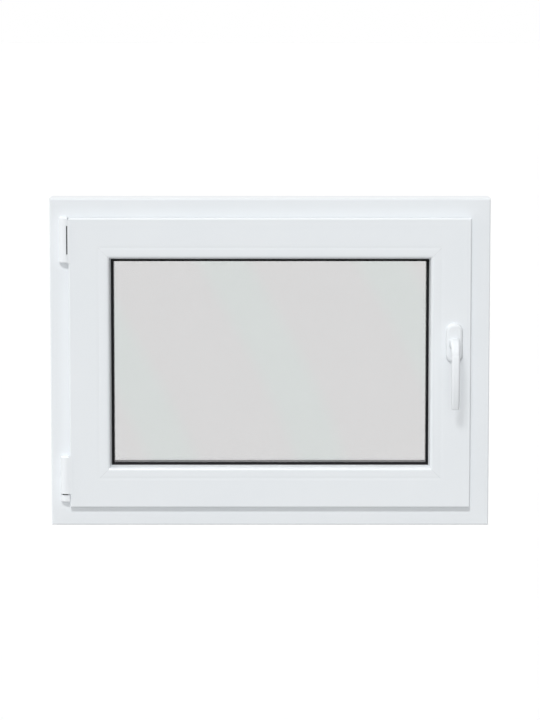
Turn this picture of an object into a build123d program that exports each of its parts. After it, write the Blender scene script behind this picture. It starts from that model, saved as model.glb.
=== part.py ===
from build123d import *
from math import cos, radians
import os

# Tilt-and-turn window with one sash, seen from the room: +X right, +Y outdoors, +Z up.
# Millimetres. The origin is the middle of the frame's bottom face, at mid depth.
# Sections are drawn with u measured inwards from the frame's outer edge, and y through the wall.

# Frame
frame_width = 800.0
frame_height = 600.0
frame_face = 43.0
frame_stop_height = 24.0
frame_stop_thickness = 15.0
frame_stop_slope = 4.0
frame_edge_radius = 2.5
rebate_edge_radius = 2.0
stop_edge_radius = 1.5

# Sash
sash_overlap = 8.0
sash_proud = 15.0
sash_face = 54.0
sash_stop_thickness = 15.0
sash_stop_slope = 5.0
sash_edge_radius = 2.5
flange_gap = 3.0
rebate_gap = 12.0
mitre_overrun = 1.0

# Glazing
glass_recess = 24.0
glass_bite = 13.0
pane_thickness = 4.0
cavity = 16.0
spacer_sight = 4.5

# Glazing beads
bead_height = 21.5
bead_groove_width = 4.0
bead_groove_depth = 0.25
bead_shoulder = 19.0
bead_shoulder_radius = 6.0
bead_nose = 3.0

# Gaskets
glazing_gasket_thickness = 3.0
glazing_gasket_bed = 8.0
glazing_gasket_lip = 4.5
glazing_gasket_edge = 0.8
stop_gasket_thickness = 4.0
stop_gasket_width = 6.0
stop_gasket_inset = 3.0
overlap_gasket_inset = 2.0
overlap_gasket_width = 4.0

# Drain caps on the outdoor face of the sill
drain_cap_length = 44.0
drain_cap_height = 14.0
drain_cap_thickness = 4.0
drain_cap_radius = 3.0
drain_cap_from_end = 160.0
drain_cap_rise = 16.0

# Hinges
hinge_axis_offset = 9.0
hinge_axis_proud = 8.0
hinge_clearance = 0.3
hinge_cover_gap = 0.1
hinge_cover_wall = 1.5
hinge_cover_radius = 3.0
hinge_flank_radius = 12.5
hinge_pin_radius = 2.5
hinge_pin_clearance = 0.1
hinge_knuckle_radius = 4.2
hinge_plate_thickness = 1.5
hinge_plate_width = 10.0
hinge_leaf_thickness = 1.5
hinge_leaf_lap = 3.6
hinge_leaf_lap_thickness = 1.0
hinge_web_width = 5.0
top_hinge_rise = 2.0
top_hinge_height = 84.0
top_slit_length = 52.0
top_slit_width = 2.3
bottom_hinge_rise = 9.5
bearing_height = 13.0
bearing_gap = 2.5
bottom_cover_height = 69.5
pin_seat_depth = 9.0

# Handle
handle_height = 338.0
handle_inset = 30.5
rosette_width = 31.0
rosette_height = 73.0
rosette_thickness = 9.0
rosette_edge_radius = 6.5
collar_diameter = 22.0
collar_clearance = 0.1
collar_end_clearance = 0.5
neck_width = 19.0
neck_corner_radius = 6.0
neck_straight = 9.0
neck_bend_radius = 24.0
neck_bend_angle = 80.0
neck_end_width = 14.4
neck_end_thickness = 9.4
neck_end_corner_radius = 3.6
grip_width = 15.5
grip_thickness = 12.0
grip_corner_radius = 4.5
grip_end_width = 14.5
grip_end_thickness = 11.0
grip_bow_angle = 24.0
grip_flare = 1.0
lever_length = 116.0
lever_end_radius = 2.5

# Places inwards from the frame's outer edge
sash_edge = frame_face - sash_overlap
sash_rebate = frame_face + rebate_gap
bead_seat = sash_edge + sash_face
daylight_edge = bead_seat + bead_height
glass_edge = daylight_edge - glass_bite
frame_stop_edge = frame_face + frame_stop_height

# Places through the wall, from the room outwards
glazing_depth = glass_recess + 2 * pane_thickness + cavity
sash_depth = glazing_depth + glazing_gasket_thickness + sash_stop_thickness
frame_depth = sash_depth - sash_proud + stop_gasket_thickness + frame_stop_thickness
frame_room_y = -frame_depth / 2
frame_outer_y = frame_depth / 2
flange_back_y = frame_room_y - flange_gap
sash_room_y = frame_room_y - sash_proud
bead_groove_y = sash_room_y + bead_groove_depth
inner_glass_y = sash_room_y + glass_recess
bead_back_y = inner_glass_y - glazing_gasket_thickness
cavity_y = inner_glass_y + pane_thickness
outer_pane_y = cavity_y + cavity
outer_glass_y = outer_pane_y + pane_thickness
sash_stop_y = outer_glass_y + glazing_gasket_thickness
sash_outer_y = sash_stop_y + sash_stop_thickness
frame_stop_y = sash_outer_y + stop_gasket_thickness

# Each side of the window: its starting corner, the way inwards, and its length.
# A section is extruded along the side, from the corner, with y kept pointing outdoors.
left_x = -frame_width / 2
right_x = frame_width / 2
sides = {
    "head": (Vector(left_x, 0, frame_height), Vector(0, 0, -1), frame_width),
    "sill": (Vector(right_x, 0, 0), Vector(0, 0, 1), frame_width),
    "hinge_side": (Vector(left_x, 0, 0), Vector(1, 0, 0), frame_height),
    "lock_side": (Vector(right_x, 0, frame_height), Vector(-1, 0, 0), frame_height),
}


def mitred_bar(side, corners):
    """A bar along one side of the window, cut at 45 degrees at both ends.

    Each corner of the section is (u, y, rounding).
    """
    start, inwards, length = sides[side]
    along = inwards.cross(Vector(0, 1, 0))
    points = [(u, y) for u, y, rounding in corners]
    roundings = [rounding for u, y, rounding in corners]
    section = make_face(FilletPolyline(*points, radius=roundings, close=True))
    plane = Plane(origin=start, x_dir=inwards, z_dir=along)
    bar = extrude(plane * section, amount=length)
    reach = max(u for u, y in points) + mitre_overrun
    wedge = make_face(
        Polyline(
            start,
            start + along * length,
            start + along * (length - reach) + inwards * reach,
            start + along * reach + inwards * reach,
            close=True,
        )
    )
    through = frame_depth + sash_proud
    return bar & extrude(wedge, amount=through, dir=(0, 1, 0), both=True)


def ring(corners):
    """The same section run around all four sides as one piece."""
    bars = [mitred_bar(side, corners) for side in sides]
    return bars[0] + bars[1:]


def sheet(u, near_y, far_y):
    """A rectangular slab whose edge lies u inside the frame's outer edge."""
    slab = Box(frame_width - 2 * u, far_y - near_y, frame_height - 2 * u)
    return Pos(0, (near_y + far_y) / 2, frame_height / 2) * slab


def block(x0, x1, y0, y1, z0, z1):
    """A box between two corners."""
    return Pos((x0 + x1) / 2, (y0 + y1) / 2, (z0 + z1) / 2) * Box(x1 - x0, y1 - y0, z1 - z0)


def upright(x, y, radius, z0, z1):
    """A round vertical bar."""
    return Pos(x, y, (z0 + z1) / 2) * Cylinder(radius, z1 - z0)


parts = {}

# Frame bars: room face, rebate, outer stop with a sloped top
frame_section = [
    (0, frame_room_y, frame_edge_radius),
    (frame_face, frame_room_y, rebate_edge_radius),
    (frame_face, frame_stop_y, 0),
    (frame_stop_edge, frame_stop_y, stop_edge_radius),
    (frame_stop_edge - frame_stop_slope, frame_outer_y, stop_edge_radius),
    (0, frame_outer_y, frame_edge_radius),
]
parts["frame_head"] = mitred_bar("head", frame_section)
parts["frame_sill"] = mitred_bar("sill", frame_section)
parts["frame_jamb_hinge_side"] = mitred_bar("hinge_side", frame_section)
parts["frame_jamb_lock_side"] = mitred_bar("lock_side", frame_section)

# Sash bars: flange over the frame, shallow groove beside the bead, glass rebate, outer stop
sash_section = [
    (sash_edge, sash_room_y, sash_edge_radius),
    (bead_seat - bead_groove_width, sash_room_y, 0),
    (bead_seat, bead_groove_y, 0),
    (bead_seat, sash_stop_y, 0),
    (daylight_edge, sash_stop_y, stop_edge_radius),
    (daylight_edge - sash_stop_slope, sash_outer_y, stop_edge_radius),
    (sash_rebate, sash_outer_y, stop_edge_radius),
    (sash_rebate, flange_back_y, 0),
    (sash_edge, flange_back_y, 0),
]
parts["sash_top_rail"] = mitred_bar("head", sash_section)
parts["sash_bottom_rail"] = mitred_bar("sill", sash_section)
parts["sash_stile_hinge_side"] = mitred_bar("hinge_side", sash_section)
parts["sash_stile_lock_side"] = mitred_bar("lock_side", sash_section)

# Glazing beads: groove, flat face flush with the sash, rounded shoulder, steep slope to the glass
bead_section = [
    (bead_seat, bead_groove_y, 0),
    (bead_seat + bead_groove_width, sash_room_y, 0),
    (bead_seat + bead_shoulder, sash_room_y, bead_shoulder_radius),
    (daylight_edge, bead_back_y - bead_nose, 0),
    (daylight_edge, bead_back_y, 0),
    (bead_seat, bead_back_y, 0),
]
parts["bead_top"] = mitred_bar("head", bead_section)
parts["bead_bottom"] = mitred_bar("sill", bead_section)
parts["bead_hinge_side"] = mitred_bar("hinge_side", bead_section)
parts["bead_lock_side"] = mitred_bar("lock_side", bead_section)

# Gaskets on both faces of the glass, each with a lip that shows past the bead or the stop
lip_edge = daylight_edge + glazing_gasket_lip
bed_edge = daylight_edge - glazing_gasket_bed
parts["bead_gasket"] = ring(
    [
        (bed_edge, bead_back_y, 0),
        (daylight_edge, bead_back_y, 0),
        (lip_edge, inner_glass_y - glazing_gasket_edge, 0),
        (lip_edge, inner_glass_y, 0),
        (bed_edge, inner_glass_y, 0),
    ]
)
parts["outer_glazing_gasket"] = ring(
    [
        (bed_edge, outer_glass_y, 0),
        (lip_edge, outer_glass_y, 0),
        (lip_edge, outer_glass_y + glazing_gasket_edge, 0),
        (daylight_edge, sash_stop_y, 0),
        (bed_edge, sash_stop_y, 0),
    ]
)

# Gaskets between the sash and the frame, at the outer stop and behind the flange
stop_gasket_edge = frame_stop_edge - stop_gasket_inset
parts["frame_stop_gasket"] = ring(
    [
        (stop_gasket_edge - stop_gasket_width, sash_outer_y, 0),
        (stop_gasket_edge, sash_outer_y, 0),
        (stop_gasket_edge, frame_stop_y, 0),
        (stop_gasket_edge - stop_gasket_width, frame_stop_y, 0),
    ]
)
overlap_gasket_edge = sash_edge + overlap_gasket_inset
parts["sash_overlap_gasket"] = ring(
    [
        (overlap_gasket_edge, flange_back_y, 0),
        (overlap_gasket_edge + overlap_gasket_width, flange_back_y, 0),
        (overlap_gasket_edge + overlap_gasket_width, frame_room_y, 0),
        (overlap_gasket_edge, frame_room_y, 0),
    ]
)

# Double glazing: two panes with the spacer between them
parts["glass_inner_pane"] = sheet(glass_edge, inner_glass_y, cavity_y)
parts["glass_outer_pane"] = sheet(glass_edge, outer_pane_y, outer_glass_y)
parts["glass_spacer"] = sheet(glass_edge, cavity_y, outer_pane_y) - sheet(
    daylight_edge + spacer_sight, cavity_y, outer_pane_y
)

# Drain caps low on the outdoor face of the sill
for cap_side, cap_x in (
    ("left", left_x + drain_cap_from_end),
    ("right", right_x - drain_cap_from_end),
):
    cap = block(
        cap_x - drain_cap_length / 2,
        cap_x + drain_cap_length / 2,
        frame_outer_y,
        frame_outer_y + drain_cap_thickness,
        drain_cap_rise,
        drain_cap_rise + drain_cap_height,
    )
    outer_rim = cap.faces().sort_by(Axis.Y)[-1].edges()
    parts["drain_cap_" + cap_side] = fillet(outer_rim, drain_cap_radius)

# Both hinges turn on one upright axis beside the sash flange
axis_x = left_x + sash_edge - hinge_axis_offset
axis_y = frame_room_y - hinge_axis_proud
flange_x = left_x + sash_edge
cover_reach = hinge_axis_offset - hinge_clearance
leaf_x = flange_x - hinge_leaf_thickness
cover_x = leaf_x - hinge_cover_gap
bearing_x = flange_x - hinge_clearance
web_y = (sash_room_y + flange_back_y) / 2
bore_radius = hinge_pin_radius + hinge_pin_clearance


def rounded_back(radius, back_y, z0, z1):
    """A bar round towards the room and square towards the frame, on the hinge axis."""
    return upright(axis_x, axis_y, radius, z0, z1) + block(
        axis_x - radius, axis_x + radius, axis_y, back_y, z0, z1
    )


def pin_bore(z0, z1):
    return upright(axis_x, axis_y, bore_radius, z0, z1)


def hinge_leaf(knuckle_radius, web_z0, web_z1, z0, z1):
    """The sash's half of a hinge: knuckle, web, and an angle around the flange's edge."""
    knuckle = upright(axis_x, axis_y, knuckle_radius, web_z0, web_z1)
    web = block(
        axis_x, leaf_x, web_y - hinge_web_width / 2, web_y + hinge_web_width / 2, web_z0, web_z1
    )
    lap_y = sash_room_y - hinge_leaf_lap_thickness
    edge_strip = block(leaf_x, flange_x, lap_y, web_y + hinge_web_width / 2, z0, z1)
    face_strip = block(flange_x, flange_x + hinge_leaf_lap, lap_y, sash_room_y, z0, z1)
    return knuckle + web + edge_strip + face_strip - pin_bore(web_z0, web_z1)


def cover_body(inset, sash_side_x, back_y, z0, z1):
    """A bar around the hinge axis, flat in front, with a round flank away from the sash."""
    flank_x = axis_x - cover_reach + inset
    front_y = axis_y - cover_reach + inset
    section = FilletPolyline(
        (flank_x, back_y),
        (flank_x, front_y),
        (sash_side_x, front_y),
        (sash_side_x, back_y),
        radius=[0, hinge_flank_radius - inset, 0, 0],
        close=True,
    )
    return extrude(Plane.XY.offset(z0) * make_face(section), amount=z1 - z0)


def round_end(body, end):
    """Rounds the room-side edges of a bar's lower (0) or upper (-1) end."""
    rim = body.faces().sort_by(Axis.Z)[end].edges().sort_by(Axis.Y)[:-1]
    return fillet(rim, hinge_cover_radius)


# Top hinge: bracket with two knuckles on the frame, the leaf between them, a cover with a slit
top_z1 = frame_height - sash_edge + top_hinge_rise
top_z0 = top_z1 - top_hinge_height
slit_z0 = (top_z0 + top_z1 - top_slit_length) / 2
slit_z1 = slit_z0 + top_slit_length
plate_front_y = frame_room_y - hinge_plate_thickness
knuckle_spans = (
    (top_z0 + hinge_cover_wall + hinge_clearance, slit_z0),
    (slit_z1, top_z1 - hinge_cover_wall - hinge_clearance),
)
bracket = block(
    axis_x - hinge_plate_width / 2,
    axis_x + hinge_plate_width / 2,
    plate_front_y,
    frame_room_y,
    knuckle_spans[0][0],
    knuckle_spans[1][1],
)
for z0, z1 in knuckle_spans:
    bracket += rounded_back(hinge_knuckle_radius, plate_front_y, z0, z1)
    bracket -= pin_bore(z0, z1)
parts["top_hinge_bracket"] = bracket
parts["top_hinge_pin"] = upright(
    axis_x, axis_y, hinge_pin_radius, knuckle_spans[0][0], knuckle_spans[1][1]
)
parts["top_hinge_leaf"] = hinge_leaf(
    hinge_knuckle_radius,
    slit_z0 + hinge_clearance,
    slit_z1 - hinge_clearance,
    top_z0,
    top_z1 - top_hinge_rise - sash_edge_radius,
)
top_cover = cover_body(0, cover_x, frame_room_y, top_z0, top_z1)
top_cover = round_end(round_end(top_cover, -1), 0)
top_cover -= cover_body(
    hinge_cover_wall,
    cover_x - hinge_cover_wall,
    frame_room_y,
    top_z0 + hinge_cover_wall,
    top_z1 - hinge_cover_wall,
)
slit_x = cover_x - top_slit_width
top_cover -= block(slit_x, cover_x, axis_y - cover_reach, frame_room_y, slit_z0, slit_z1)
parts["top_hinge_cover"] = top_cover

# Bottom hinge: bearing block on the frame, pin across the gap, leaf and cover on the sash
bearing_z0 = sash_edge + bottom_hinge_rise
bearing_z1 = bearing_z0 + bearing_height
cover_z0 = bearing_z1 + bearing_gap
cover_z1 = cover_z0 + bottom_cover_height
pin_z0 = bearing_z1 - pin_seat_depth
bearing = round_end(cover_body(0, bearing_x, frame_room_y, bearing_z0, bearing_z1), 0)
parts["bottom_hinge_bearing"] = bearing - pin_bore(pin_z0, bearing_z1)
sleeve_z1 = cover_z1 - hinge_cover_wall - hinge_clearance
parts["bottom_hinge_pin"] = upright(axis_x, axis_y, hinge_pin_radius, pin_z0, sleeve_z1)
parts["bottom_hinge_leaf"] = hinge_leaf(hinge_knuckle_radius, cover_z0, sleeve_z1, cover_z0, cover_z1)
cover_back_y = frame_room_y - hinge_clearance
bottom_cover = round_end(cover_body(0, cover_x, cover_back_y, cover_z0, cover_z1), -1)
bottom_cover -= cover_body(
    hinge_cover_wall,
    cover_x - hinge_cover_wall,
    cover_back_y,
    cover_z0,
    cover_z1 - hinge_cover_wall,
)
web_front_y = web_y - hinge_web_width / 2 - hinge_clearance
bottom_cover -= block(
    axis_x, cover_x, web_front_y, cover_back_y, cover_z0, sleeve_z1 + hinge_clearance
)
parts["bottom_hinge_cover"] = bottom_cover

# Handle: oval rosette on the sash, and the lever that turns in its bore
handle_x = right_x - sash_edge - handle_inset
rosette_front_y = sash_room_y - rosette_thickness
rosette_plane = Plane(
    origin=(handle_x, sash_room_y, handle_height), x_dir=(1, 0, 0), z_dir=(0, -1, 0)
)
rosette = extrude(
    rosette_plane * SlotOverall(rosette_height, rosette_width, rotation=90), amount=rosette_thickness
)
rosette = fillet(rosette.faces().sort_by(Axis.Y)[0].edges(), rosette_edge_radius)
bore = Circle(collar_diameter / 2 + collar_clearance)
parts["handle_rosette"] = rosette - extrude(rosette_plane * bore, amount=rosette_thickness)

# The lever leaves the rosette towards the room, bends down, flares into the grip, and bows back towards
# the sash at its end.
# Its path is drawn with x towards the room and y downwards.
neck_y = rosette_front_y - collar_end_clearance
path_plane = Plane(
    origin=(handle_x, neck_y, handle_height), x_dir=(0, -1, 0), z_dir=(1, 0, 0)
)
bend_end = radians(neck_bend_angle)
bow_end = radians(neck_bend_angle + grip_bow_angle)
bend_drop = neck_bend_radius * (1 - cos(bend_end))
bow_radius = (lever_length - bend_drop) / (cos(bend_end) - cos(bow_end))
neck = Line((0, 0), (neck_straight, 0))
bend = JernArc(neck @ 1, neck % 1, neck_bend_radius, neck_bend_angle)
bow = JernArc(bend @ 1, bend % 1, bow_radius, grip_bow_angle)


def lever_section(point, direction, width, thickness, corner_radius):
    """A rounded rectangle across the lever's path."""
    place = Plane(origin=point, x_dir=(0, 0, 1), z_dir=direction)
    return path_plane * place * RectangleRounded(width, thickness, corner_radius)


arm = sweep(
    [
        lever_section(neck @ 0, neck % 0, neck_width, neck_width, neck_corner_radius),
        lever_section(bend @ 1, bend % 1, neck_end_width, neck_end_thickness, neck_end_corner_radius),
    ],
    path=path_plane * (neck + bend),
    multisection=True,
)
grip = sweep(
    [
        lever_section(bow @ 0, bow % 0, grip_width, grip_thickness, grip_corner_radius),
        lever_section(bow @ 1, bow % 1, grip_end_width, grip_end_thickness, grip_corner_radius),
    ],
    path=path_plane * bow,
    multisection=True,
)
grip = chamfer(grip.faces().sort_by(Axis.Z)[-1].edges(), grip_flare)
grip = fillet(grip.faces().sort_by(Axis.Z)[0].edges(), lever_end_radius)
collar_plane = Plane(
    origin=(handle_x, sash_room_y - collar_end_clearance, handle_height),
    x_dir=(1, 0, 0),
    z_dir=(0, -1, 0),
)
collar = extrude(collar_plane * Circle(collar_diameter / 2), amount=rosette_thickness)
parts["handle_lever"] = collar + arm + grip

os.makedirs("parts", exist_ok=True)
for name, solid in parts.items():
    export_step(solid, "parts/" + name + ".step")
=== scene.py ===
import math

import bmesh
import bpy
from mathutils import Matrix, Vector


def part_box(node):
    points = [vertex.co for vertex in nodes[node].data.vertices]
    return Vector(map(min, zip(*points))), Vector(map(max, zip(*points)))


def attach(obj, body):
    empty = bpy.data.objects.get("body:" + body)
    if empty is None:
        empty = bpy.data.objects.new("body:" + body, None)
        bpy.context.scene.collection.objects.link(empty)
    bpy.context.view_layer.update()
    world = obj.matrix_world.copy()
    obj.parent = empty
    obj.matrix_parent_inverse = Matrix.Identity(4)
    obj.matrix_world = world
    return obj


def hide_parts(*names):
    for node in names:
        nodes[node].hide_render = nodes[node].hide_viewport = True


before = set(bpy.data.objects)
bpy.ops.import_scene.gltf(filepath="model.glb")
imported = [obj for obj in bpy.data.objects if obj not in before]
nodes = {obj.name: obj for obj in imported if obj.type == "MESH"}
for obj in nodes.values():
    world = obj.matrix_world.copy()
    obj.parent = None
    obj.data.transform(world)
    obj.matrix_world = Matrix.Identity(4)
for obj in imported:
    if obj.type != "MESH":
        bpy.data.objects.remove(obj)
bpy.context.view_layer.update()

scene = bpy.context.scene
print("frame loaded:", len(nodes), "nodes")


def addNode(tree, kind, inputs=None, **settings):
    node = tree.nodes.new(kind)
    for key, value in settings.items():
        setattr(node, key, value)
    for key, value in (inputs or {}).items():
        node.inputs[key].default_value = value
    return node


def newMaterial(name):
    material = bpy.data.materials.new(name)
    material.use_nodes = True
    tree = material.node_tree
    tree.nodes.clear()
    output = addNode(tree, "ShaderNodeOutputMaterial")
    return material, tree, output


def newFinish(name, inputs):
    material, tree, output = newMaterial(name)
    shader = addNode(tree, "ShaderNodeBsdfPrincipled", inputs)
    tree.links.new(shader.outputs["BSDF"], output.inputs["Surface"])
    return material, tree, shader


def noiseOver(tree, stretch, scale, detail=3.0, roughness=0.55):
    # object space noise, stretched by a scale on each axis
    place = addNode(tree, "ShaderNodeTexCoord")
    mapping = addNode(tree, "ShaderNodeMapping", {"Scale": stretch})
    noise = addNode(
        tree, "ShaderNodeTexNoise", {"Scale": scale, "Detail": detail, "Roughness": roughness}
    )
    tree.links.new(place.outputs["Object"], mapping.inputs["Vector"])
    tree.links.new(mapping.outputs["Vector"], noise.inputs["Vector"])
    return noise.outputs["Fac"]


def spread(tree, source, band):
    # turns a 0 to 1 value into a narrow band of values
    narrow = addNode(tree, "ShaderNodeMapRange", {"To Min": band[0], "To Max": band[1]})
    tree.links.new(source, narrow.inputs["Value"])
    return narrow.outputs["Result"]


def twoTone(tree, source, toneA, toneB, fromValue=0.3, toValue=0.7):
    ramp = addNode(tree, "ShaderNodeValToRGB")
    ramp.color_ramp.elements[0].position = fromValue
    ramp.color_ramp.elements[0].color = (*toneA, 1)
    ramp.color_ramp.elements[1].position = toValue
    ramp.color_ramp.elements[1].color = (*toneB, 1)
    tree.links.new(source, ramp.inputs["Fac"])
    return ramp.outputs["Color"]


def paint(tree, shader, tone, rough):
    tree.links.new(tone, shader.inputs["Base Color"])
    tree.links.new(rough, shader.inputs["Roughness"])


def addRelief(tree, shader, height, look):
    bump = addNode(
        tree, "ShaderNodeBump", {"Strength": look["bump"], "Distance": look["bumpDistance"]}
    )
    tree.links.new(height, bump.inputs["Height"])
    tree.links.new(bump.outputs["Normal"], shader.inputs["Normal"])


plasticIor = 1.5
even = (1, 1, 1)  # noise with no stretch

# white extruded pvc: faint drawing lines along the bar, slight cloudiness, satin gloss
pvcLook = {
    "toneA": (0.772, 0.803, 0.828),
    "toneB": (0.784, 0.813, 0.836),
    "cloudScale": 9.0,
    "drawStretch": 0.02,
    "drawScale": 900.0,
    "rough": (0.30, 0.38),
    "bump": 0.02,
    "bumpDistance": 0.0002,
    "specular": 0.4,
}


def whitePvc(name, along, look):
    material, tree, shader = newFinish(
        name, {"IOR": plasticIor, "Specular IOR Level": look["specular"]}
    )
    clouds = noiseOver(tree, even, look["cloudScale"])
    stretch = [look["drawStretch"] if axis == along else 1.0 for axis in "XYZ"]
    lines = noiseOver(tree, stretch, look["drawScale"], detail=2.0)
    tone = twoTone(tree, clouds, look["toneA"], look["toneB"])
    paint(tree, shader, tone, spread(tree, lines, look["rough"]))
    addRelief(tree, shader, lines, look)
    return material


# moulded white covers and the coated handle share one recipe with their own numbers
coverLook = {
    "toneA": (0.785, 0.814, 0.838),
    "toneB": (0.797, 0.824, 0.845),
    "cloudScale": 25.0,
    "grainScale": 1400.0,
    "rough": (0.32, 0.42),
    "bump": 0.05,
    "bumpDistance": 0.0001,
    "specular": 0.5,
}
handleLook = {
    "toneA": (0.775, 0.805, 0.828),
    "toneB": (0.788, 0.816, 0.838),
    "cloudScale": 25.0,
    "grainScale": 2200.0,
    "rough": (0.44, 0.54),
    "bump": 0.04,
    "bumpDistance": 0.0001,
    "specular": 0.25,
}


def grainedWhite(name, look):
    material, tree, shader = newFinish(
        name, {"IOR": plasticIor, "Specular IOR Level": look["specular"]}
    )
    clouds = noiseOver(tree, even, look["cloudScale"])
    grain = noiseOver(tree, even, look["grainScale"], detail=2.0)
    tone = twoTone(tree, clouds, look["toneA"], look["toneB"])
    paint(tree, shader, tone, spread(tree, grain, look["rough"]))
    addRelief(tree, shader, grain, look)
    return material


# gasket rubber; the joint tone is painted shade, a grey that stands in for the shadow in the gap between
# two beads
gasketLook = {
    "black": (0.006, 0.006, 0.007),
    "grey": (0.42, 0.43, 0.44),
    "joint": (0.36, 0.37, 0.38),
    "lighter": 1.5,
    "grainScale": 1800.0,
    "rough": (0.45, 0.62),
    "bump": 0.15,
    "bumpDistance": 0.0001,
    "specular": 0.1,
}


def rubber(name, tone, look):
    material, tree, shader = newFinish(
        name, {"IOR": plasticIor, "Specular IOR Level": look["specular"]}
    )
    grain = noiseOver(tree, even, look["grainScale"])
    lighter = [channel * look["lighter"] for channel in tone]
    paint(tree, shader, twoTone(tree, grain, tone, lighter), spread(tree, grain, look["rough"]))
    addRelief(tree, shader, grain, look)
    return material


# float glass: grey with wide, very faint greenish bands, painted reflections in the base colour
glassLook = {
    "clear": (0.815, 0.8125, 0.8135),
    "greenish": (0.8035, 0.8225, 0.817),
    "ior": 1.45,
    "bandSlant": 24.0,
    "bandScale": 1.25,
    "bandBend": 2.2,
    "bandEdges": (0.62, 0.9),
    "shadowTint": 0.86,
}


def floatGlass(name, look):
    material, tree, output = newMaterial(name)
    shader = addNode(
        tree, "ShaderNodeBsdfPrincipled",
        {"IOR": look["ior"], "Transmission Weight": 1.0, "Roughness": 0.0},
    )
    place = addNode(tree, "ShaderNodeTexCoord")
    slant = addNode(
        tree, "ShaderNodeMapping", {"Rotation": (0, math.radians(look["bandSlant"]), 0)}
    )
    reflectionBands = addNode(
        tree, "ShaderNodeTexWave",
        {"Scale": look["bandScale"], "Distortion": look["bandBend"], "Detail": 0.0},
    )
    tree.links.new(place.outputs["Object"], slant.inputs["Vector"])
    tree.links.new(slant.outputs["Vector"], reflectionBands.inputs["Vector"])
    # the greenish bands are painted reflections
    tone = twoTone(tree, reflectionBands.outputs["Fac"], look["clear"], look["greenish"], *look["bandEdges"])
    tree.links.new(tone, shader.inputs["Base Color"])
    # lamps shine through the pane
    passing = addNode(tree, "ShaderNodeBsdfTransparent", {"Color": (*[look["shadowTint"]] * 3, 1)})
    path = addNode(tree, "ShaderNodeLightPath")
    mix = addNode(tree, "ShaderNodeMixShader")
    tree.links.new(path.outputs["Is Shadow Ray"], mix.inputs["Fac"])
    tree.links.new(shader.outputs["BSDF"], mix.inputs[1])
    tree.links.new(passing.outputs["BSDF"], mix.inputs[2])
    tree.links.new(mix.outputs["Shader"], output.inputs["Surface"])
    return material


spacerLook = {
    "toneA": (0.10, 0.10, 0.105),
    "toneB": (0.13, 0.13, 0.135),
    "grainScale": 900.0,
    "rough": (0.4, 0.55),
}


def spacerBar(name, look):
    material, tree, shader = newFinish(name, {"IOR": plasticIor})
    grain = noiseOver(tree, even, look["grainScale"])
    tone = twoTone(tree, grain, look["toneA"], look["toneB"])
    paint(tree, shader, tone, spread(tree, grain, look["rough"]))
    return material


zincLook = {
    "toneA": (0.50, 0.51, 0.52),
    "toneB": (0.62, 0.63, 0.63),
    "spangleScale": 700.0,
    "spangleStretch": (1, 1, 0.2),
    "rough": (0.28, 0.42),
}


def zincSteel(name, look):
    material, tree, shader = newFinish(name, {"Metallic": 1.0})
    spangle = noiseOver(tree, look["spangleStretch"], look["spangleScale"])
    tone = twoTone(tree, spangle, look["toneA"], look["toneB"])
    paint(tree, shader, tone, spread(tree, spangle, look["rough"]))
    return material


pvcAcross = whitePvc("whitePvcAcross", "X", pvcLook)
pvcUpright = whitePvc("whitePvcUpright", "Z", pvcLook)
coverWhite = grainedWhite("mouldedWhite", coverLook)
handleWhite = grainedWhite("handleWhite", handleLook)
blackRubber = rubber("blackRubber", gasketLook["black"], gasketLook)
greyRubber = rubber("greyRubber", gasketLook["grey"], gasketLook)
paintedJointShade = rubber("paintedJointShade", gasketLook["joint"], gasketLook)
glass = floatGlass("floatGlass", glassLook)
spacer = spacerBar("spacerBar", spacerLook)
zinc = zincSteel("zincSteel", zincLook)
finishes = {
    pvcAcross: ["frame_head", "frame_sill", "sash_top_rail", "sash_bottom_rail", "bead_top", "bead_bottom"],
    pvcUpright: [
        "frame_jamb_hinge_side", "frame_jamb_lock_side", "sash_stile_hinge_side",
        "sash_stile_lock_side", "bead_hinge_side", "bead_lock_side",
    ],
    coverWhite: [
        "drain_cap_left", "drain_cap_right", "top_hinge_cover", "top_hinge_leaf",
        "bottom_hinge_cover", "bottom_hinge_leaf", "bottom_hinge_bearing",
    ],
    handleWhite: ["handle_rosette", "handle_lever"],
    blackRubber: ["bead_gasket", "outer_glazing_gasket", "frame_stop_gasket"],
    greyRubber: ["sash_overlap_gasket"],
    glass: ["glass_inner_pane", "glass_outer_pane"],
    spacer: ["glass_spacer"],
    zinc: ["top_hinge_bracket", "top_hinge_pin", "bottom_hinge_pin"],
}
for material, names in finishes.items():
    for name in names:
        mesh = nodes[name].data
        mesh.materials.clear()
        mesh.materials.append(material)
print("finishes set on", sum(len(names) for names in finishes.values()), "nodes")

# places on the window: an inset is measured in from the frame's outer edge
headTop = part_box("frame_head")[1]
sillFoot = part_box("frame_sill")[0]
halfWidth = headTop.x
halfHeight = (headTop.z - sillFoot.z) / 2
middleZ = sillFoot.z + halfHeight
corners = [(1, 1), (-1, 1), (-1, -1), (1, -1)]


def atInset(inset, y, signX, signZ):
    return Vector((signX * (halfWidth - inset), y, middleZ + signZ * (halfHeight - inset)))


def insets(node):
    # outer and inner edge of a ring or an upright bar
    reach = [abs(vertex.co.x) for vertex in nodes[node].data.vertices]
    return halfWidth - max(reach), halfWidth - min(reach)


def skin(rings, closed=False):
    # faces between rings of points, with the two ends capped or joined up
    count = len(rings[0])
    points = [point for ring in rings for point in ring]
    faces = []
    for r in range(len(rings) if closed else len(rings) - 1):
        here = r * count
        there = (r + 1) % len(rings) * count
        for k in range(count):
            after = (k + 1) % count
            faces.append((here + k, here + after, there + after, there + k))
    if not closed:
        faces.append(tuple(range(count)))
        faces.append(tuple(range(len(points) - count, len(points))))
    return points, faces


def joinShapes(shapes):
    points = []
    faces = []
    for shapePoints, shapeFaces in shapes:
        start = len(points)
        points.extend(shapePoints)
        faces.extend(tuple(start + k for k in face) for face in shapeFaces)
    return points, faces


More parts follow.
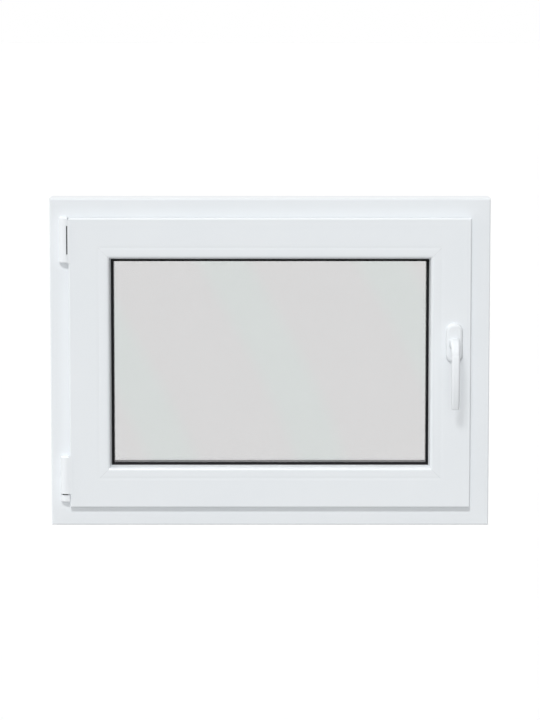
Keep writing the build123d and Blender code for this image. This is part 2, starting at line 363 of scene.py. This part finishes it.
def meshOf(name, shape):
    mesh = bpy.data.meshes.new(name)
    mesh.from_pydata(shape[0], [], shape[1])
    work = bmesh.new()
    work.from_mesh(mesh)
    bmesh.ops.recalc_face_normals(work, faces=work.faces)
    work.to_mesh(mesh)
    work.free()
    return mesh


def addPiece(name, shape, material, sharpAngle=35.0):
    mesh = meshOf(name, shape)
    mesh.shade_smooth()
    mesh.set_sharp_from_angle(angle=math.radians(sharpAngle))
    mesh.materials.append(material)
    piece = bpy.data.objects.new(name, mesh)
    scene.collection.objects.link(piece)
    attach(piece, "window")
    return piece


def cornerRib(path, signX, signZ, facing, look):
    # a low rounded rib over a mitre; the path runs inwards as (inset, y), facing is -1 to the room
    across = Vector((signX, 0, -signZ)).normalized() * look["width"] / 2
    turns = [math.pi * k / look["steps"] for k in range(look["steps"] + 1)]
    rings = []
    for k, (inset, y) in enumerate(path):
        before = path[max(k - 1, 0)]
        after = path[min(k + 1, len(path) - 1)]
        run = after[0] - before[0]
        rise = after[1] - before[1]
        out = facing * Vector((signX * rise, 2 * run, signZ * rise)).normalized()
        foot = atInset(inset, y, signX, signZ)
        ring = [foot + across * math.cos(t) + out * look["height"] * math.sin(t) for t in turns]
        ring.append(foot - across - out * look["sunk"])
        ring.append(foot + across - out * look["sunk"])
        rings.append(ring)
    return skin(rings)


# welded corners of the frame and the sash, cleaned off to a faint line on both faces
weldLook = {
    "width": 0.0012,
    "height": 0.00006,
    "sunk": 0.0003,
    "steps": 6,
    "margin": 0.003,
    "edgeRound": 0.003,
    "jointGap": 0.001,
}


def makeWelds(look):
    sashOuter = insets("sash_stile_lock_side")[0]
    beadOuter, daylight = insets("bead_lock_side")
    stopEdge = insets("frame_jamb_lock_side")[1]
    gap = look["jointGap"]
    edge = look["edgeRound"]
    # node, its room face (0) or outdoor face (1), and the insets between which the line runs
    runs = {
        "frameWelds": [("frame_head", 0, 0, sashOuter), ("frame_head", 1, 0, stopEdge - edge)],
        "sashWelds": [
            ("sash_top_rail", 0, sashOuter, beadOuter - gap),
            ("sash_top_rail", 1, stopEdge - gap, daylight - edge),
        ],
    }
    for name, spans in runs.items():
        ribs = []
        for node, face, start, stop in spans:
            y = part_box(node)[face].y
            path = [(start + look["margin"], y), (stop - look["margin"], y)]
            ribs += [cornerRib(path, *corner, 2 * face - 1, look) for corner in corners]
        addPiece(name, joinShapes(ribs), pvcAcross)


makeWelds(weldLook)

# hairlines of painted shade where the cut beads meet, over the flat face, the shoulder and the slope
mitreLook = {
    "width": 0.00018,
    "height": 0.00003,
    "sunk": 0.0003,
    "steps": 4,
    "start": 0.0005,
    "shoulder": 0.019,
    "shoulderRadius": 0.006,
    "nose": 0.003,
    "arcSteps": 10,
}


def makeBeadMitres(look):
    beadOuter, daylight = insets("bead_lock_side")
    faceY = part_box("bead_top")[0].y
    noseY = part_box("bead_top")[1].y - look["nose"]
    shoulder = beadOuter + look["shoulder"]
    slope = math.atan2(noseY - faceY, daylight - shoulder)
    radius = look["shoulderRadius"]
    arcStart = shoulder - radius * math.tan(slope / 2)
    path = [(beadOuter + look["start"], faceY)]
    for k in range(look["arcSteps"] + 1):
        turn = slope * k / look["arcSteps"]
        path.append((arcStart + radius * math.sin(turn), faceY + radius * (1 - math.cos(turn))))
    path.append((daylight, noseY))
    ribs = [cornerRib(path, *corner, -1, look) for corner in corners]
    # grey ribs of painted shade stand in for the dark gap between the cut beads
    addPiece("beadMitreShade", joinShapes(ribs), paintedJointShade)


makeBeadMitres(mitreLook)
print("welds and bead mitres made")

# soft round lip where each glazing gasket meets the glass
lipLook = {"radius": 0.00045, "sides": 10, "inset": 0.0003}


def makeGasketLips(look):
    places = {
        "innerGasketLip": ("bead_gasket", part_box("glass_inner_pane")[0].y, -1),
        "outerGasketLip": ("outer_glazing_gasket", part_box("glass_outer_pane")[1].y, 1),
    }
    turns = [2 * math.pi * k / look["sides"] for k in range(look["sides"])]
    for name, (node, glassY, facing) in places.items():
        middle = insets(node)[1] - look["inset"]
        y = glassY + facing * look["radius"]
        section = [
            (middle + look["radius"] * math.cos(t), y + look["radius"] * math.sin(t)) for t in turns
        ]
        rings = [[atInset(*place, *corner) for place in section] for corner in corners]
        addPiece(name, skin(rings, closed=True), blackRubber)


makeGasketLips(lipLook)
print("gasket lips made")

# two rows of fine breathing slots along the inner face of the spacer bar, flat black patches of painted
# shade in place of cut holes
breathLook = {
    "pitch": 0.004,
    "length": 0.0018,
    "width": 0.0005,
    "rows": (-0.0032, 0.0032),
    "proud": 0.00003,
    "sunk": 0.0001,
    "endSteps": 3,
    "margin": 0.006,
}


def breathSlot(middle, along, inwards, look):
    radius = look["width"] / 2
    straight = look["length"] / 2 - radius
    side = along.cross(inwards)
    outline = []
    for end in (1, -1):
        for k in range(look["endSteps"] + 1):
            turn = math.pi * (k / look["endSteps"] - 0.5)
            reach = along * (straight + radius * math.cos(turn))
            outline.append(end * (reach + side * radius * math.sin(turn)))
    levels = (-look["sunk"], look["proud"])
    return skin([[middle + point + inwards * level for point in outline] for level in levels])


def makeBreathSlots(look):
    low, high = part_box("glass_spacer")
    inset = insets("glass_spacer")[1]
    across = (Vector((1, 0, 0)), halfWidth - inset)
    upwards = (Vector((0, 0, 1)), halfHeight - inset)
    slots = []
    for (along, reach), (outwards, distance) in ((across, upwards), (upwards, across)):
        count = int((reach - look["margin"]) / look["pitch"])
        for sign in (1, -1):
            for k in range(-count, count + 1):
                for row in look["rows"]:
                    middle = Vector((0, (low.y + high.y) / 2 + row, middleZ))
                    middle += along * k * look["pitch"] + outwards * sign * distance
                    slots.append(breathSlot(middle, along, -sign * outwards, look))
    # black patches stand in for the shade inside the slots
    addPiece("spacerSlotShade", joinShapes(slots), blackRubber)
    print("spacer slots:", len(slots))


makeBreathSlots(breathLook)

# drain caps: a crowned cover with three louvre slots cut into it
capLook = {
    "skirt": 0.0014,
    "crownInset": 0.0022,
    "crownSteps": 5,
    "cornerRadius": 0.003,
    "cornerSteps": 6,
    "slots": 3,
    "slotLength": 0.03,
    "slotHeight": 0.0015,
    "slotRadius": 0.000714,
    "slotPitch": 0.0033,
    "slotDepth": 0.0024,
}


def roundedLoop(halfX, halfZ, radius, steps):
    loop = []
    for quarter, (signX, signZ) in enumerate(corners):
        for k in range(steps + 1):
            turn = math.pi / 2 * (quarter + k / steps)
            loop.append((
                signX * (halfX - radius) + radius * math.cos(turn),
                signZ * (halfZ - radius) + radius * math.sin(turn),
            ))
    return loop


def cutSlots(piece, shape):
    cutter = bpy.data.objects.new("slotCutter", meshOf("slotCutter", shape))
    scene.collection.objects.link(cutter)
    cut = piece.modifiers.new("slots", "BOOLEAN")
    cut.operation = "DIFFERENCE"
    cut.object = cutter
    bpy.context.view_layer.update()
    whole = piece.evaluated_get(bpy.context.evaluated_depsgraph_get())
    piece.data = bpy.data.meshes.new_from_object(whole)
    piece.modifiers.clear()
    bpy.data.objects.remove(cutter)


def makeDrainCap(name, node, look):
    low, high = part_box(node)
    middle = (low + high) / 2
    half = (high - low) / 2
    rise = high.y - low.y - look["skirt"]
    levels = [(0, low.y)]
    for k in range(look["crownSteps"] + 1):
        turn = math.pi / 2 * k / look["crownSteps"]
        inset = look["crownInset"] * (1 - math.cos(turn))
        levels.append((inset, low.y + look["skirt"] + rise * math.sin(turn)))
    rings = []
    for inset, y in levels:
        radius = look["cornerRadius"] - inset / 2
        loop = roundedLoop(half.x - inset, half.z - inset, radius, look["cornerSteps"])
        rings.append([Vector((middle.x + x, y, middle.z + z)) for x, z in loop])
    cap = addPiece(name, skin(rings), coverWhite)
    slots = []
    for k in range(look["slots"]):
        z = middle.z + (k - (look["slots"] - 1) / 2) * look["slotPitch"]
        loop = roundedLoop(
            look["slotLength"] / 2, look["slotHeight"] / 2, look["slotRadius"], look["cornerSteps"]
        )
        ends = (high.y - look["slotDepth"], high.y + look["slotDepth"])
        slots.append(skin([[Vector((middle.x + x, y, z + dz)) for x, dz in loop] for y in ends]))
    cutSlots(cap, joinShapes(slots))
    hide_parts(node)


for side in ("left", "right"):
    makeDrainCap(side + "DrainCap", "drain_cap_" + side, capLook)
print("drain caps made")

# top hinge: a ribbed black strip at the bottom of the cover's slit, painted shade that stands in for the
# shadow deep in the slit
slitShadeLook = {
    "length": 0.0512,
    "width": 0.0016,
    "sideGap": 0.0004,
    "depth": 0.0044,
    "thickness": 0.0009,
    "ribs": 3,
    "ribHeight": 0.00025,
    "ribSteps": 5,
}


def makeSlitShade(look):
    low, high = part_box("top_hinge_cover")
    right = high.x - look["sideGap"]
    left = right - look["width"]
    frontY = low.y + look["depth"]
    section = [(right, frontY + look["thickness"]), (left, frontY + look["thickness"])]
    steps = look["ribs"] * look["ribSteps"]
    for k in range(steps + 1):
        lift = abs(math.sin(math.pi * k / look["ribSteps"])) * look["ribHeight"]
        section.append((left + look["width"] * k / steps, frontY - lift))
    middle = (low.z + high.z) / 2
    ends = (middle - look["length"] / 2, middle + look["length"] / 2)
    rings = [[Vector((x, y, z)) for x, y in section] for z in ends]
    # black strip of painted shade on the floor of the slit
    addPiece("hingeSlitShade", skin(rings), blackRubber, sharpAngle=50.0)


makeSlitShade(slitShadeLook)

# bottom hinge: a black collar on the pin, with a groove round its middle; its black is painted shade that
# darkens the gap between cover and bearing
gapShadeLook = {
    "radius": 0.0052,
    "groove": 0.0007,
    "boreGap": 0.0002,
    "endGap": 0.0001,
    "edge": 0.0002,
    "sides": 48,
}


def makeHingeGapShade(look):
    pinLow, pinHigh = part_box("bottom_hinge_pin")
    axis = (pinLow + pinHigh) / 2
    bore = (pinHigh.x - pinLow.x) / 2 + look["boreGap"]
    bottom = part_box("bottom_hinge_bearing")[1].z + look["endGap"]
    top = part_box("bottom_hinge_cover")[0].z - look["endGap"]
    outer = look["radius"]
    edge = look["edge"]
    waist = (bottom + top) / 2
    profile = [
        (bore, bottom),
        (outer - edge, bottom),
        (outer, bottom + edge),
        (outer, waist - 2 * edge),
        (outer - look["groove"], waist - edge),
        (outer - look["groove"], waist + edge),
        (outer, waist + 2 * edge),
        (outer, top - edge),
        (outer - edge, top),
        (bore, top),
    ]
    rings = []
    for k in range(look["sides"]):
        turn = 2 * math.pi * k / look["sides"]
        out = Vector((math.cos(turn), math.sin(turn), 0))
        rings.append([Vector((axis.x, axis.y, z)) + r * out for r, z in profile])
    # black collar of painted shade in the gap between cover and bearing
    addPiece("hingeGapShade", skin(rings, closed=True), blackRubber)


makeHingeGapShade(gapShadeLook)
print("hinge strip and bush made")


def seenRays(tree):
    # 1 for what the camera sees, straight or by way of gloss and glass
    path = addNode(tree, "ShaderNodeLightPath")
    total = path.outputs["Is Camera Ray"]
    for ray in ("Is Glossy Ray", "Is Transmission Ray"):
        join = addNode(tree, "ShaderNodeMath", operation="MAXIMUM")
        tree.links.new(total, join.inputs[0])
        tree.links.new(path.outputs[ray], join.inputs[1])
        total = join.outputs["Value"]
    return total


# pale floor, low enough to keep the window's shadow out of the picture
# and wide enough to lie behind all the glass
floorLook = {"depth": 2.0, "half": 200.0, "seen": 1.0, "bounce": 0.45}


def makeFloor(look):
    half = look["half"]
    mesh = bpy.data.meshes.new("paleFloor")
    mesh.from_pydata([(half * x, half * y, 0) for x, y in corners], [], [(0, 1, 2, 3)])
    floor = bpy.data.objects.new("paleFloor", mesh)
    floor.location.z = -look["depth"]
    scene.collection.objects.link(floor)
    material, tree, output = newMaterial("paleFloor")
    seen = addNode(tree, "ShaderNodeBsdfDiffuse", {"Color": (*[look["seen"]] * 3, 1)})
    bounce = addNode(tree, "ShaderNodeBsdfDiffuse", {"Color": (*[look["bounce"]] * 3, 1)})
    mix = addNode(tree, "ShaderNodeMixShader")
    tree.links.new(seenRays(tree), mix.inputs["Fac"])
    tree.links.new(bounce.outputs["BSDF"], mix.inputs[1])
    tree.links.new(seen.outputs["BSDF"], mix.inputs[2])
    tree.links.new(mix.outputs["Shader"], output.inputs["Surface"])
    mesh.materials.append(material)


makeFloor(floorLook)

# soft studio light: a dim even room and a few wide lamps
# each share is what the lamp adds to a face turned to it
lampLook = {
    "room": 0.2,
    "lamps": {
        "key": {"towards": (0.1, 0.79, -0.605), "share": 0.43, "softness": 4.0},
        "keySoft": {"towards": (0.238, 0.722, -0.65), "share": 0.25, "softness": 12.0},
        "front": {"towards": (0.0, 0.99, -0.12), "share": 0.135, "softness": 50.0},
        "top": {"towards": (0.05, 0.12, -0.99), "share": 0.175, "softness": 30.0},
        "left": {"towards": (0.97, -0.05, -0.24), "share": 0.4, "softness": 40.0},
        "rear": {"towards": (-0.42, -0.9, -0.13), "share": 0.72, "softness": 30.0},
    },
    "shine": ["key"],  # seen as a highlight in the gloss
    # the soft key shades with the lever alone, the crisp one with everything else
    "leverShadow": {"key": "EXCLUDE", "keySoft": "INCLUDE"},
}


def makeLight(look):
    world = bpy.data.worlds.new("studioRoom")
    scene.world = world
    world.use_nodes = True
    tree = world.node_tree
    tree.nodes.clear()
    output = addNode(tree, "ShaderNodeOutputWorld")
    room = addNode(tree, "ShaderNodeBackground", {"Color": (1, 1, 1, 1), "Strength": look["room"]})
    white = addNode(tree, "ShaderNodeBackground", {"Color": (1, 1, 1, 1), "Strength": 1.0})
    mix = addNode(tree, "ShaderNodeMixShader")
    tree.links.new(seenRays(tree), mix.inputs["Fac"])
    tree.links.new(room.outputs["Background"], mix.inputs[1])
    tree.links.new(white.outputs["Background"], mix.inputs[2])
    tree.links.new(mix.outputs["Shader"], output.inputs["Surface"])
    for name, settings in look["lamps"].items():
        lamp = bpy.data.lights.new(name + "Lamp", "SUN")
        lamp.energy = settings["share"] * math.pi
        lamp.angle = math.radians(settings["softness"])
        holder = bpy.data.objects.new(name + "Lamp", lamp)
        holder.rotation_euler = Vector(settings["towards"]).to_track_quat("-Z", "Y").to_euler()
        holder.visible_glossy = name in look["shine"]
        holder.visible_transmission = False
        scene.collection.objects.link(holder)
    for name, state in look["leverShadow"].items():
        blockers = bpy.data.collections.new(name + "Blockers")
        blockers.objects.link(nodes["handle_lever"])
        blockers.collection_objects[0].light_linking.link_state = state
        scene.objects[name + "Lamp"].light_linking.blocker_collection = blockers


makeLight(lampLook)

# a long lens a little above the window, turned down; the small shift keeps the uprights near parallel
cameraLook = {
    "distance": 5.0,
    "height": 0.952,
    "tiltDown": 5.925,
    "lens": 137.3,
    "sensor": 36.0,
    "shift": -0.1,
}


def makeCamera(look):
    camera = bpy.data.cameras.new("photoCamera")
    camera.lens = look["lens"]
    camera.sensor_width = look["sensor"]
    camera.shift_y = look["shift"]
    holder = bpy.data.objects.new("photoCamera", camera)
    holder.location = (0, -look["distance"], look["height"])
    holder.rotation_euler = (math.radians(90 - look["tiltDown"]), 0, 0)
    scene.collection.objects.link(holder)
    scene.camera = holder


makeCamera(cameraLook)
scene.view_settings.view_transform = "Standard"
print("floor, light and camera ready")
